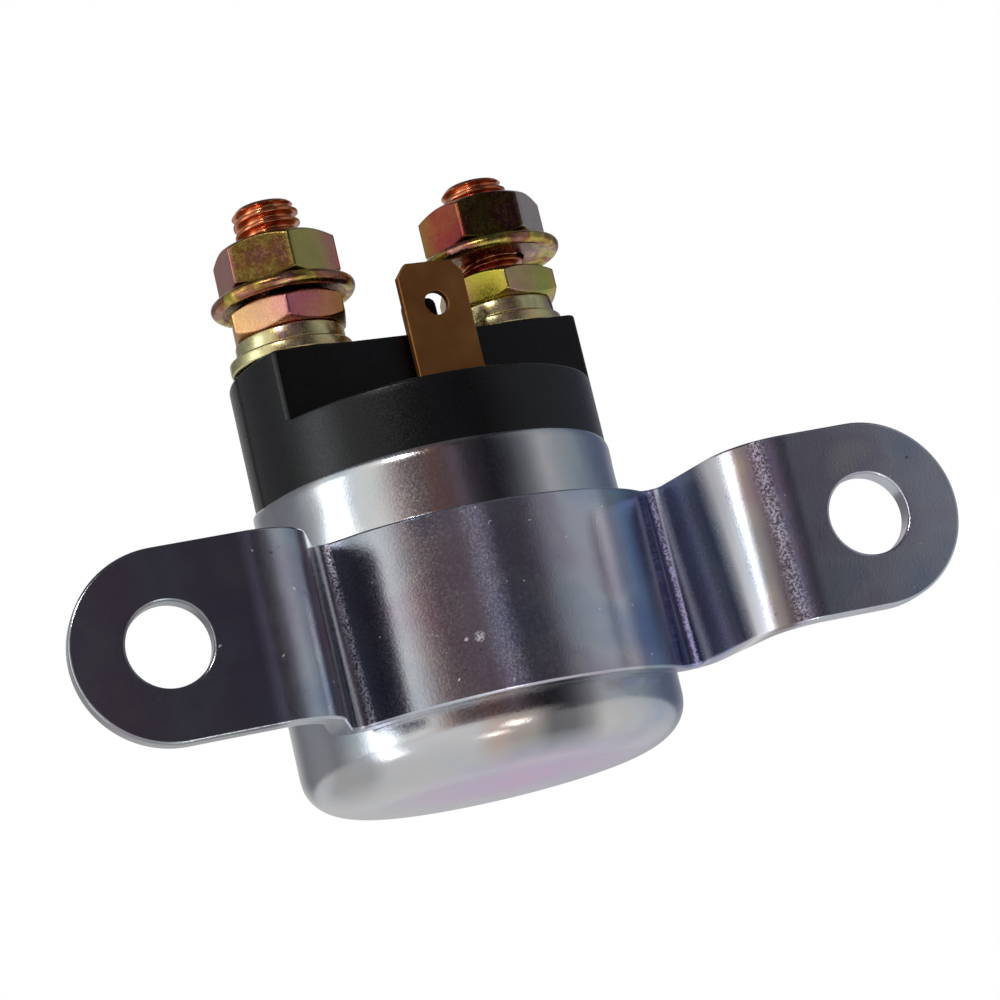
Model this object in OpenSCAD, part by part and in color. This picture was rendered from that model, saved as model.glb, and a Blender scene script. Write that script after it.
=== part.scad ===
// Starter solenoid relay: a drawn steel can in a strap bracket, closed by a moulded cap that
// carries two copper studs and one spade terminal, with the coil, plunger and contact disc inside.
// Frame: X along the bracket, +Y from the mounting plane towards the can, +Z towards the studs.
// Origin: midway between the two bracket holes, in the plane of the mounting faces.

/* [Bracket] */
// Distance between the two bracket holes
hole_pitch = 60; // [56:0.5:66]
// Diameter of each bracket hole
hole_d = 7; // [5:0.1:8]
// Height of the strap along the can
band_h = 16; // [14:0.5:17]
// Thickness of the strap sheet
sheet_t = 2; // [1.5:0.1:2.2]
// Distance of the strap's middle behind the mounting faces
panel_gap = 5.05; // [4:0.05:6.5]
// Half of the angle that the strap wraps round the can, in degrees
wrap_half = 47; // [44:1:50]
// Turn of the strap's middle on the can towards the right ear, in degrees
wrap_turn = 3.2; // [0:0.2:4.4]
// Angle of each leg against the mounting plane, in degrees
leg_angle = 75; // [70:1:80]
// Inside radius of the folded crease
crease_r = 1; // [0.8:0.1:1.4]
// Inside radius of the bend into the ear
ear_bend_r = 4; // [3:0.1:4.6]

/* [Can] */
// Outside diameter of the can
can_d = 34.6; // [33.8:0.1:36]
// Wall of the can
can_wall = 0.7; // [0.6:0.05:0.75]
// Depth of the can below the hole centres
can_below = 13.3; // [13:0.1:15]
// Height of the can's lip above the hole centres
can_above = 14.45; // [13.8:0.05:15.5]
// Outside radius of the can's bottom edge
can_corner_r = 4.5; // [3:0.1:5]
// Distance by which the neck under the lip is drawn in from the can's side
neck_inset = 1.1; // [0.8:0.05:1.3]
// Radius of the lip's rounded edge
lip_r = 0.5; // [0.4:0.05:0.55]

/* [Cap] */
// Step of the cap's side over its waist inside the can's lip
cap_step = 0.55; // [0.4:0.05:0.7]
// Height of the ledge above the can's lip
ledge_h = 6.05; // [5.5:0.05:6.5]
// Height of the terminal block above the ledge
block_h = 6.3; // [5:0.1:7]
// Depth of the terminal block from face to face
block_depth = 13.6; // [12:0.1:14]
// Turn of the cap on the can, in degrees
cap_turn = 8; // [0:1:12]
// Thickness of the cap's roof over the contact chamber
roof_t = 3.5; // [3:0.1:4]
// Wall of the cap round the contact chamber
chamber_wall = 1.05; // [0.9:0.05:1.15]
// Thickness of the cap's flange inside the can
flange_h = 1.85; // [1.5:0.05:2.5]
// Width of the tab that stands behind the spade terminal
tab_w = 3; // [2.4:0.1:4]
// Thickness of the tab
tab_t = 1.2; // [0.8:0.1:1.6]
// Height of the tab above the terminal block
tab_h = 3.2; // [2:0.1:5]
// Radius of the tab's upper corners
tab_r = 0.7; // [0.3:0.1:1]

/* [Studs] */
// Distance of each stud from the cap's side
stud_inset = 5.7; // [5.5:0.1:6.3]
// Offset of the stud row from the cap's middle
stud_row_y = -0.9; // [-1.2:0.1:0]
// Diameter of a stud
stud_d = 6; // [5:0.1:6]
// Length of a stud above the block
stud_out = 15.1; // [14.5:0.1:20]
// Diameter of the contact head
head_d = 7.8; // [7:0.1:8]
// Thickness of the contact head
head_t = 2.3; // [2:0.1:2.5]

/* [Stud hardware] */
// Width of the hexagon nuts across the flats
nut_af = 10; // [9.5:0.1:10.5]
// Height of the lower nut
lock_nut_h = 2.9; // [2.5:0.1:3.5]
// Height of the upper nut
top_nut_h = 4.3; // [4:0.1:5]
// Outside diameter of the flat washer
washer_d = 11.2; // [11:0.1:13]
// Thickness of the flat washer
washer_t = 1.2; // [1:0.1:1.6]
// Outside diameter of the spring washer
spring_washer_d = 9.9; // [9.8:0.1:11]
// Thickness of the spring washer
spring_washer_t = 1.6; // [1.4:0.1:2]
// Width of the spring washer's split
split_w = 0.9; // [0.5:0.1:1.2]
// Outside diameter of the flange ring
ring_d = 13.2; // [12:0.1:14]
// Thickness of the flange ring
ring_t = 1.3; // [1:0.1:1.6]
// Height by which the right upper nut stands off its lower nut
right_lift = 1.5; // [0.5:0.1:2]

/* [Spade terminal] */
// Width of the blade
blade_w = 6.3; // [4.8:0.1:6.4]
// Thickness of the blade
blade_t = 0.8; // [0.5:0.1:0.8]
// Height of the blade above the ledge
blade_h = 12.3; // [11:0.1:14]
// Offset of the blade from the cap's middle
blade_x = 0.95; // [-1:0.05:1]
// Gap between the blade and the block's face
blade_gap = 0.8; // [0.5:0.1:1.2]
// Chamfer of the blade's upper corners
blade_chamfer = 1.2; // [0.8:0.1:1.5]
// Diameter of the blade's latch hole
blade_hole_d = 2.2; // [1.8:0.1:2.5]
// Height of the latch hole above the ledge
blade_hole_h = 8.4; // [8:0.1:10]
// Width of the leg that passes through the ledge
leg_w = 3; // [2.5:0.1:3.5]

/* [Coil] */
// Thickness of the steel plate over the coil
plate_t = 1.5; // [1.2:0.1:1.8]
// Thickness of the seal between plate and cap
gasket_t = 0.6; // [0.5:0.05:0.7]
// Thickness of the steel washer on the can's base
base_t = 1.2; // [1:0.1:1.5]
// Gap between the bobbin's flanges and the can
bobbin_gap = 1.7; // [1.5:0.1:1.8]
// Thickness of the bobbin's flanges
bobbin_flange_t = 1; // [0.8:0.1:1.2]
// Wall of the bobbin's tube
bobbin_wall = 0.9; // [0.7:0.1:1]
// Depth of the winding below the rim of the bobbin's flanges
winding_inset = 1.9; // [1.9:0.1:2.9]
// Diameter of the winding's lead
lead_d = 0.8; // [0.6:0.1:0.9]
// Outside diameter of the lead's sleeve
sleeve_d = 1.5; // [1.3:0.05:1.55]

/* [Plunger] */
// Diameter of the plunger
plunger_d = 9.94; // [9.6:0.02:10]
// Length of the plunger
plunger_l = 5.65; // [5:0.05:6]
// Travel of the plunger
stroke = 3; // [2.7:0.1:3.1]
// Part of the travel left after the contacts meet
overtravel = 0.8; // [0.6:0.1:1]
// Wall of the brass guide tube
tube_wall = 0.45; // [0.3:0.05:0.5]
// Diameter of the push rod
rod_d = 3; // [2.6:0.1:3.2]
// Diameter of the recess for the return spring
recess_d = 6.4; // [6.2:0.1:6.6]
// Depth of the recess for the return spring
recess_h = 3.4; // [3:0.1:3.6]

/* [Contact disc] */
// Gap between the contact disc and the chamber's wall
disc_gap = 1.9; // [1.8:0.1:2.4]
// Thickness of the contact disc
disc_t = 1.5; // [1.2:0.1:1.8]
// Outside radius of the disc's bush
bush_r = 4.2; // [4:0.1:4.6]
// Thickness of the bush's flange
bush_t = 0.8; // [0.6:0.1:1]
// Thickness of the washer on the disc
disc_washer_t = 0.7; // [0.5:0.1:0.8]
// Wire of both springs
wire_d = 0.6; // [0.4:0.05:0.7]
// Middle radius of the return spring
return_spring_r = 2.45; // [2.35:0.05:2.5]
// Middle radius of the contact spring
contact_spring_r = 2.9; // [2.7:0.05:3.2]

/* [Hidden] */
$fn = 64;
// Overrun of every cut past the face it leaves
over = 0.5;
// Clearance between pieces that seat on each other
seat_gap = 0.05;
// Clearance of a sliding fit, on the radius
slide_gap = 0.08;
// Clearance of a nut or washer round its stud, on the radius
nut_gap = 0.05;
washer_gap = 0.2;
// The same for the flat washer, whose bore is wide, and for the spring washer
flat_washer_gap = 0.5;
spring_washer_gap = 0.3;
// Share of that clearance by which the washers lie to the left of their studs
washer_rest_share = 0.9;
// Edge break of moulded and turned corners
edge = 0.4;
// Set-back of the tab from the block's face, and its offset from the cap's middle
tab_set = 0.2;
tab_x = 0.1;
// Turns of the left and right hardware as it stands on the studs, in degrees
lock_turns = [12, 17];
nut_turns = [-33, -12];
split_turns = [120, -38];
// Lean of a spring washer's cut and rise of a nut's chamfer, in degrees
split_lean = 35;
nut_chamfer_angle = 30;
nut_chamfer_share = 0.9;

// Levels of the housing
can_base_z = -can_below;
can_in_r = can_d / 2 - can_wall;
base_in_z = can_base_z + can_wall;
// The shoulder lies lower than the strap's upper edge, which hides it
shoulder_h = 1.1;
shoulder_drop = 0.6;
shoulder_z = band_h / 2 - shoulder_drop;
neck_z = shoulder_z + shoulder_h;
neck_r = can_d / 2 - neck_inset;
neck_in_r = neck_r - can_wall;
waist_r = neck_in_r - seat_gap;
cap_r = waist_r + cap_step;
chamber_r = waist_r - chamber_wall;
stud_pitch = 2 * (cap_r - stud_inset);
bobbin_r = can_in_r - bobbin_gap;
winding_r = bobbin_r - winding_inset;
disc_r = chamber_r - disc_gap;
ledge_z = can_above + ledge_h;
block_z = ledge_z + block_h;
roof_z = ledge_z - roof_t;
flange_top_z = shoulder_z - seat_gap;
flange_z = flange_top_z - flange_h;
gasket_z = flange_z - gasket_t;
plate_z = gasket_z - plate_t;
base_top_z = base_in_z + base_t;
bobbin_z = base_top_z + seat_gap;
bobbin_top_z = plate_z - seat_gap;
tube_in_r = plunger_d / 2 + slide_gap;
tube_out_r = tube_in_r + tube_wall;
bobbin_bore_r = tube_out_r + seat_gap;
bobbin_tube_r = bobbin_bore_r + bobbin_wall;

// Levels of the moving pieces
plunger_z = base_top_z + 2 * seat_gap;
plunger_top_z = plunger_z + plunger_l;
core_z = plunger_top_z + stroke + seat_gap;
core_r = tube_in_r - slide_gap;
core_neck_share = 0.7;
core_neck_r = core_r * core_neck_share;
rod_bore_r = rod_d / 2 + slide_gap;
head_z = roof_z - seat_gap - head_t;
disc_lift = stroke - overtravel;
disc_z = head_z - disc_lift - disc_t - seat_gap;
hub_wall = 1.05;
hub_r = rod_d / 2 + slide_gap + hub_wall;
bush_z = disc_z - bush_t;
seat_t = 0.8;
seat_rise = 1;
seat_z = flange_z + seat_rise;
seat_r = contact_spring_r + wire_d;
clip_z = disc_z + disc_t + disc_washer_t;
clip_t = 0.6;
clip_w = 1.2;
clip_r = rod_d / 2 + clip_w;
rod_z = plunger_z + plunger_l / 2;
rod_top_z = clip_z + clip_t + edge / 2;

// The strap's path in plan, seen from the can's axis
strap_in_r = can_d / 2 + seat_gap;
strap_r = strap_in_r + sheet_t;
axis_y = strap_r + panel_gap;
leg_n = [sin(leg_angle), cos(leg_angle)];
leg_dir = [cos(leg_angle), -sin(leg_angle)];
ear_out_r = ear_bend_r + sheet_t;
bend_drop = ear_out_r * (1 - cos(leg_angle));
ear_end_x = hole_pitch / 2 + band_h / 2 + over;
crease_step = (wrap_half + leg_angle) / 12;

// Levels of the stud hardware
spring_washer_z = block_z + washer_t;
lock_nut_z = spring_washer_z + spring_washer_t;
ring_z = lock_nut_z + lock_nut_h;
nut_r = nut_af / sqrt(3);
stud_z = head_z + head_t;
blade_y = -(block_depth / 2 + blade_gap + blade_t / 2);
lead_y = -(disc_r + chamber_r) / 2;
foot_z = roof_z - seat_gap - blade_t;

module on_axis() {
    translate([0, axis_y, 0]) children();
}

module on_cap() {
    on_axis() rotate([0, 0, cap_turn]) children();
}

// The left or the right one of a pair of values
function of_side(pair, side) = pair[side < 0 ? 0 : 1];

module at_stud(side) {
    on_cap() translate([side * stud_pitch / 2, stud_row_y, 0]) children();
}

// Points along an arc, with both of its ends
function arc_points(c, r, from, to, steps) =
    [for (i = [0:steps]) let (a = from + (to - from) * i / steps) c + r * [cos(a), sin(a)]];

function backwards(points) = [for (i = [len(points) - 1:-1:0]) points[i]];

function flipped(points) = [for (p = points) [-p[0], p[1]]];

// The wrap's angle, the crease's centre, the leg's start and the bend's centre on one side
function wrap_at(side) = wrap_half + side * wrap_turn;
function crease_at(side) = (strap_r + crease_r) * [sin(wrap_at(side)), -cos(wrap_at(side))];
function leg_at(side) = crease_at(side) + crease_r * leg_n;
function leg_l(side) = (leg_at(side)[1] + axis_y - bend_drop) / sin(leg_angle);
function bend_at(side) = leg_at(side) + leg_l(side) * leg_dir + ear_out_r * leg_n;

// One face of the strap beyond its wrap, at a depth into the sheet: crease, leg, bend and ear
function strap_side(side, depth) = concat(
    arc_points(crease_at(side), crease_r + depth, 90 + wrap_at(side) - crease_step,
        90 - leg_angle, 11),
    arc_points(bend_at(side), ear_out_r - depth, 270 - leg_angle, 270, 14),
    [[ear_end_x, depth - axis_y]]);

// One face of the whole strap, from the left ear to the right one
function strap_face(depth) = concat(
    flipped(backwards(strap_side(-1, depth))),
    arc_points([0, 0], strap_r - depth, 270 - wrap_at(-1), 270 + wrap_at(1), 48),
    strap_side(1, depth));

module mounting_bracket() {
    color("lightslategray")
    difference() {
        intersection() {
            translate([0, axis_y, -band_h / 2 - over])
                linear_extrude(band_h + 2 * over)
                polygon(concat(strap_face(0), backwards(strap_face(sheet_t))));
            translate([0, axis_y, 0]) rotate([90, 0, 0])
                linear_extrude(axis_y + over) {
                    square([hole_pitch, band_h], center = true);
                    for (side = [-1, 1]) translate([side * hole_pitch / 2, 0]) circle(d = band_h);
                }
        }
        for (side = [-1, 1])
            translate([side * hole_pitch / 2, sheet_t + over, 0]) rotate([90, 0, 0])
                cylinder(d = hole_d, h = sheet_t + 2 * over);
    }
}

// Half section of a cup with a rounded bottom edge
module cup_section(r, z, corner, top) {
    translate([0, z]) square([r - corner, top - z]);
    translate([0, z + corner]) square([r, top - z - corner]);
    translate([r - corner, z + corner]) circle(r = corner);
}

module case_can() {
    corner_in = can_corner_r - can_wall;
    lip_x = neck_r - lip_r;
    lip_z = can_above - lip_r;
    color("silver")
    on_axis() rotate_extrude($fn = 128) {
        difference() {
            cup_section(can_d / 2, can_base_z, can_corner_r, shoulder_z);
            cup_section(can_in_r, base_in_z, corner_in, shoulder_z + over);
        }
        polygon([[can_in_r, shoulder_z], [can_d / 2, shoulder_z], [neck_r, neck_z],
            [neck_r, lip_z], [lip_x, lip_z], [lip_x, can_above], [neck_in_r, can_above],
            [neck_in_r, neck_z]]);
        intersection() {
            translate([lip_x, lip_z]) circle(r = lip_r, $fn = 48);
            translate([(lip_x + neck_in_r) / 2, lip_z]) square(can_wall);
        }
    }
}

// A short tab with rounded corners, near the block's front face
module cap_tab() {
    translate([tab_x, tab_t + tab_set - block_depth / 2, block_z - over]) rotate([90, 0, 0])
        linear_extrude(tab_t) {
            translate([-tab_w / 2, 0]) square([tab_w, tab_h + over - tab_r]);
            translate([tab_r - tab_w / 2, 0]) square([tab_w - 2 * tab_r, tab_h + over]);
            for (side = [-1, 1])
                translate([side * (tab_w / 2 - tab_r), tab_h + over - tab_r]) circle(r = tab_r);
        }
}

module cap_body() {
    difference() {
        union() {
            translate([0, 0, flange_z]) cylinder(r = can_in_r - seat_gap, h = flange_h);
            translate([0, 0, flange_z]) cylinder(r = waist_r, h = can_above + over - flange_z);
            translate([0, 0, can_above + seat_gap]) cylinder(r = cap_r, h = ledge_h - seat_gap);
            intersection() {
                translate([0, 0, roof_z]) cylinder(r = cap_r, h = block_z - roof_z);
                translate([-cap_r, -block_depth / 2, roof_z])
                    cube([2 * cap_r, block_depth, block_z - roof_z]);
            }
            cap_tab();
        }
        translate([0, 0, flange_z - over]) cylinder(r = chamber_r, h = roof_z - flange_z + over);
    }
}

module terminal_cap() {
    color([0.1, 0.1, 0.11])
    on_cap() difference() {
        cap_body();
        for (side = [-1, 1])
            translate([side * stud_pitch / 2, stud_row_y, roof_z - over])
                cylinder(r = stud_d / 2 + seat_gap, h = block_z - roof_z + 2 * over);
        translate([blade_x - leg_w / 2 - seat_gap, blade_y - blade_t / 2 - seat_gap, roof_z - over])
            cube([leg_w + 2 * seat_gap, blade_t + 2 * seat_gap, roof_t + 2 * over]);
    }
}

module ring(outer, inner, z, h) {
    translate([0, 0, z]) difference() {
        cylinder(r = outer, h = h);
        translate([0, 0, -over]) cylinder(r = inner, h = h + 2 * over);
    }
}

module cap_gasket() {
    color("dimgray") on_axis()
        ring(can_in_r - seat_gap, chamber_r + edge, gasket_z + seat_gap, gasket_t - 2 * seat_gap);
}

// A copper stud: contact head inside, shank through the roof, chamfered end
module stud(side) {
    shank_l = block_z + stud_out - stud_z;
    color("chocolate") at_stud(side) {
        translate([0, 0, head_z]) cylinder(d = head_d, h = head_t);
        translate([0, 0, stud_z]) cylinder(d = stud_d, h = shank_l - edge);
        translate([0, 0, stud_z + shank_l - edge])
            cylinder(d1 = stud_d, d2 = stud_d - 2 * edge, h = edge);
    }
}

module flat_washer(side) {
    color("darkkhaki") at_stud(side) translate([-flat_washer_gap * washer_rest_share, 0, 0])
        ring(washer_d / 2, stud_d / 2 + flat_washer_gap, block_z + seat_gap, washer_t - seat_gap);
}

// A split washer whose ends part along a slanted cut
module spring_washer(side) {
    color("darkkhaki") at_stud(side) translate([-spring_washer_gap * washer_rest_share, 0, 0])
        difference() {
            ring(spring_washer_d / 2, stud_d / 2 + spring_washer_gap, spring_washer_z,
                spring_washer_t);
            rotate([0, 0, of_side(split_turns, side)])
                translate([spring_washer_d / 4 + stud_d / 4, 0,
                    spring_washer_z + spring_washer_t / 2])
                rotate([split_lean, 0, 0])
                cube([spring_washer_d / 2, split_w, spring_washer_t * 3], center = true);
        }
}

// A hexagon nut chamfered at both ends, with a plain bore
module hex_nut(h) {
    chamfer = (nut_r - nut_af / 2) * nut_chamfer_share;
    rise = chamfer * tan(nut_chamfer_angle);
    difference() {
        intersection() {
            cylinder(r = nut_r, h = h, $fn = 6);
            rotate_extrude()
                polygon([[0, 0], [nut_r - chamfer, 0], [nut_r, rise], [nut_r, h - rise],
                    [nut_r - chamfer, h], [0, h]]);
        }
        translate([0, 0, -over]) cylinder(r = stud_d / 2 + nut_gap, h = h + 2 * over);
    }
}

module lock_nut(side) {
    color("goldenrod") at_stud(side)
        translate([0, 0, lock_nut_z]) rotate([0, 0, of_side(lock_turns, side)]) hex_nut(lock_nut_h - seat_gap);
}

// A ring with a full round rim
module flange_ring(side) {
    lift = of_side([0, right_lift], side);
    color("darkgoldenrod") at_stud(side) translate([0, 0, ring_z + lift]) rotate_extrude()
        difference() {
            union() {
                square([ring_d / 2 - ring_t / 2, ring_t]);
                translate([ring_d / 2 - ring_t / 2, ring_t / 2]) circle(r = ring_t / 2, $fn = 32);
            }
            translate([0, -over]) square([stud_d / 2 + washer_gap, ring_t + 2 * over]);
        }
}

module terminal_nut(side) {
    lift = of_side([0, right_lift], side);
    color("goldenrod") at_stud(side)
        translate([0, 0, ring_z + ring_t + seat_gap + lift])
        rotate([0, 0, of_side(nut_turns, side)])
        hex_nut(top_nut_h);
}

// A flat blade with a leg through the ledge and a foot under the roof
module spade_terminal() {
    foot_l = blade_y + blade_t / 2 - lead_y + leg_w / 4;
    color("peru") on_cap() translate([blade_x, blade_y, 0]) {
        difference() {
            translate([0, blade_t / 2, ledge_z + seat_gap]) rotate([90, 0, 0])
                linear_extrude(blade_t)
                polygon([[-blade_w / 2, 0], [blade_w / 2, 0],
                    [blade_w / 2, blade_h - blade_chamfer],
                    [blade_w / 2 - blade_chamfer * 0.8, blade_h],
                    [-blade_w / 2 + blade_chamfer * 0.8, blade_h],
                    [-blade_w / 2, blade_h - blade_chamfer]]);
            translate([0, blade_t, ledge_z + blade_hole_h]) rotate([90, 0, 0])
                cylinder(d = blade_hole_d, h = 2 * blade_t);
        }
        translate([-leg_w / 2, -blade_t / 2, foot_z])
            cube([leg_w, blade_t, ledge_z + seat_gap - foot_z]);
        translate([-leg_w / 2, blade_t / 2 - foot_l, foot_z]) cube([leg_w, foot_l, blade_t]);
    }
}

module coil_bobbin() {
    hole_r = sleeve_d / 2 + slide_gap;
    color("ivory") on_cap() difference() {
        union() {
            ring(bobbin_tube_r, bobbin_bore_r, bobbin_z, bobbin_top_z - bobbin_z);
            ring(bobbin_r, bobbin_bore_r, bobbin_z, bobbin_flange_t);
            ring(bobbin_r, bobbin_bore_r, bobbin_top_z - bobbin_flange_t, bobbin_flange_t);
        }
        for (side = [-1, 1])
            translate([side < 0 ? blade_x : 0, -side * lead_y, bobbin_top_z - bobbin_flange_t - over])
                cylinder(r = hole_r, h = bobbin_flange_t + 2 * over);
    }
}

module coil_winding() {
    z = bobbin_z + bobbin_flange_t + seat_gap;
    color("sienna") on_cap()
        ring(winding_r, bobbin_tube_r + seat_gap, z, bobbin_top_z - bobbin_flange_t - seat_gap - z);
}

// The winding's feed lead, up past the disc to the blade's foot
module coil_lead() {
    z = bobbin_top_z - bobbin_flange_t * 2;
    color("sienna") on_cap() translate([blade_x, lead_y, z])
        cylinder(d = lead_d, h = foot_z - seat_gap - z);
}

module lead_sleeve() {
    z = bobbin_top_z - bobbin_flange_t + seat_gap;
    color("white") on_cap() translate([blade_x, lead_y, 0])
        ring(sleeve_d / 2, lead_d / 2 + slide_gap, z, foot_z - edge - z);
}

// The winding's other end, joined to the plate and so to the can
module ground_lead() {
    z = bobbin_top_z - bobbin_flange_t * 2;
    color("sienna") on_cap() translate([0, -lead_y, z])
        cylinder(d = lead_d, h = plate_z - seat_gap / 2 - z);
}

module flux_plate() {
    color("slategray") on_cap() difference() {
        ring(can_in_r - seat_gap, core_neck_r + seat_gap / 2, plate_z, plate_t - seat_gap);
        translate([blade_x, lead_y, plate_z - over])
            cylinder(r = sleeve_d / 2 + slide_gap, h = plate_t + 2 * over);
    }
}

module base_plate() {
    color("slategray") on_axis() translate([0, 0, base_in_z])
        cylinder(r = can_in_r - (can_corner_r - can_wall) - seat_gap, h = base_t);
}

module guide_tube() {
    color("gold") on_axis() ring(tube_out_r, tube_in_r, bobbin_z, bobbin_top_z - bobbin_z);
}

// The fixed pole: a turned core with a riveted neck, a rod bore and a spring recess
module fixed_core() {
    color("gray") on_axis() difference() {
        union() {
            translate([0, 0, core_z]) cylinder(r = core_r, h = plate_z - seat_gap - core_z);
            translate([0, 0, plate_z - over]) cylinder(r = core_neck_r, h = plate_t + over);
        }
        translate([0, 0, core_z - over]) cylinder(d = recess_d, h = recess_h + over);
        translate([0, 0, core_z]) cylinder(r = rod_bore_r, h = plate_z + plate_t + over - core_z);
    }
}

module plunger() {
    color("gray") on_axis() difference() {
        translate([0, 0, plunger_z]) cylinder(d = plunger_d, h = plunger_l);
        translate([0, 0, rod_z - seat_gap])
            cylinder(r = rod_d / 2 + seat_gap / 2, h = plunger_top_z + over - rod_z);
    }
}

module plunger_rod() {
    color("lightgray") on_axis() translate([0, 0, rod_z]) cylinder(d = rod_d, h = rod_top_z - rod_z);
}

module spring_seat() {
    color("darkgray") on_axis() ring(seat_r, rod_d / 2 + seat_gap / 2, seat_z, seat_t);
}

module rod_clip() {
    color("darkgray") on_axis()
        ring(clip_r, rod_d / 2 + seat_gap / 2, clip_z + seat_gap, clip_t - seat_gap);
}

module contact_disc() {
    color("chocolate") on_axis() ring(disc_r, hub_r + seat_gap, disc_z, disc_t);
}

// A flanged bush that keeps the disc clear of the rod
module disc_bush() {
    color("saddlebrown") on_axis() {
        ring(bush_r, rod_bore_r, bush_z, bush_t - seat_gap);
        ring(hub_r, rod_bore_r, bush_z, bush_t + disc_t - seat_gap);
    }
}

module disc_washer() {
    color("saddlebrown") on_axis()
        ring(bush_r, rod_bore_r, disc_z + disc_t, disc_washer_t - seat_gap);
}

// A closed coil of round wire, from its lower face to its upper one
module coil_spring(r, wire, z, top, turns) {
    sides = 6;
    steps = 12 * turns;
    rise = (top - z - wire) / steps;
    rings = [for (i = [0:steps]) for (k = [0:sides - 1])
        let (a = 360 * i / 12, b = 360 * k / sides, q = r + wire / 2 * cos(b))
        [q * cos(a), q * sin(a), z + wire / 2 + rise * i + wire / 2 * sin(b)]];
    walls = [for (i = [0:steps - 1]) for (k = [0:sides - 1])
        let (n = (k + 1) % sides, p = i * sides)
        each [[p + k, p + sides + k, p + sides + n], [p + k, p + sides + n, p + n]]];
    first = [for (k = [0:sides - 1]) k];
    last = [for (k = [sides - 1:-1:0]) steps * sides + k];
    polyhedron(points = rings, faces = concat(walls, [first, last]));
}

module return_spring() {
    color("lightgray") on_axis() coil_spring(return_spring_r, wire_d, plunger_top_z + seat_gap,
        core_z + recess_h - seat_gap, 4);
}

module contact_spring() {
    color("lightgray") on_axis() coil_spring(contact_spring_r, wire_d, seat_z + seat_t + seat_gap,
        bush_z - seat_gap, 2);
}

mounting_bracket();
case_can();
terminal_cap();
cap_gasket();
spade_terminal();
stud(-1);  // stud_left
stud(1);  // stud_right
flat_washer(-1);  // flat_washer_left
flat_washer(1);  // flat_washer_right
spring_washer(-1);  // spring_washer_left
spring_washer(1);  // spring_washer_right
lock_nut(-1);  // lock_nut_left
lock_nut(1);  // lock_nut_right
flange_ring(-1);  // flange_ring_left
flange_ring(1);  // flange_ring_right
terminal_nut(-1);  // terminal_nut_left
terminal_nut(1);  // terminal_nut_right
coil_bobbin();
coil_winding();
coil_lead();
lead_sleeve();
ground_lead();
flux_plate();
base_plate();
guide_tube();
fixed_core();
plunger();
plunger_rod();
spring_seat();
rod_clip();
return_spring();
contact_disc();
disc_bush();
disc_washer();
contact_spring();
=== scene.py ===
import math

import bmesh
import bpy
import numpy as np
from mathutils import Matrix, Vector


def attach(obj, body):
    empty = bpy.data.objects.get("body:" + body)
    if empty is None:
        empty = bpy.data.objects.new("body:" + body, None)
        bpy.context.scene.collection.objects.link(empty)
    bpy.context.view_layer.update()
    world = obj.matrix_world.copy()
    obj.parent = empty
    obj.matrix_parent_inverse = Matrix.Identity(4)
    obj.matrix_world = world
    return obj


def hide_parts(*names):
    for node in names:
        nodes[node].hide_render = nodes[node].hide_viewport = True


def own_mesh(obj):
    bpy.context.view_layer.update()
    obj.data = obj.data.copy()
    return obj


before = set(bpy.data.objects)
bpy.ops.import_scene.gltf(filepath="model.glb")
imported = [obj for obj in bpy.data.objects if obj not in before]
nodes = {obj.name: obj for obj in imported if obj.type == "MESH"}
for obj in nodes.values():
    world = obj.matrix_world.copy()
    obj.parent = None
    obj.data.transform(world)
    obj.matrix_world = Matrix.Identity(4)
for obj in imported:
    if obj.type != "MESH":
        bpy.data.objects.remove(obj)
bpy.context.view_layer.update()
mm = 0.001

# Where the cap stands: turned a little on the can's axis
capFrame = {"axisY": 24.4, "turn": math.radians(8), "studPitch": 20.6, "studRow": -0.9}


def toLinear(hexColour):
    # each sRGB share turned to linear light by the standard curve
    shares = np.array([int(hexColour[i:i + 2], 16) for i in (1, 3, 5)]) / 255
    linear = np.where(shares <= 0.04045, shares / 12.92, ((shares + 0.055) / 1.055) ** 2.4)
    return (*linear.tolist(), 1.0)


def onCap(points):
    # plan position turned about the can's axis and moved out to it
    points = np.asarray(points, float)
    c, s = math.cos(capFrame["turn"]), math.sin(capFrame["turn"])
    x, y, z = points[..., 0], points[..., 1], points[..., 2]
    return np.stack([x * c - y * s, x * s + y * c + capFrame["axisY"], z], -1)


def atStud(points, side):
    offset = np.array([side * capFrame["studPitch"] / 2, capFrame["studRow"], 0])
    return onCap(np.asarray(points, float) + offset)


def inScene(name, data):
    item = bpy.data.objects.new(name, data)
    bpy.context.scene.collection.objects.link(item)
    return item


def meshOf(name, points, faces):
    mesh = bpy.data.meshes.new(name)
    mesh.from_pydata(np.asarray(points).reshape(-1, 3).tolist(), [], faces)
    return mesh


def makePiece(name, points, faces, body, replaced, material, sharp=38):
    # points in mm and faces as index lists become one closed, outward-facing mesh
    mesh = meshOf(name, np.asarray(points) * mm, faces)
    work = bmesh.new()
    work.from_mesh(mesh)
    bmesh.ops.remove_doubles(work, verts=work.verts, dist=1e-7)
    bmesh.ops.dissolve_degenerate(work, edges=work.edges, dist=1e-8)
    bmesh.ops.recalc_face_normals(work, faces=work.faces)
    work.to_mesh(mesh)
    work.free()
    mesh.polygons.foreach_set("use_smooth", np.ones(len(mesh.polygons), bool))
    mesh.set_sharp_from_angle(angle=math.radians(sharp))
    piece = inScene(name, mesh)
    mesh.materials.append(material)
    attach(piece, body)
    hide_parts(*replaced)
    return piece


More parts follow.
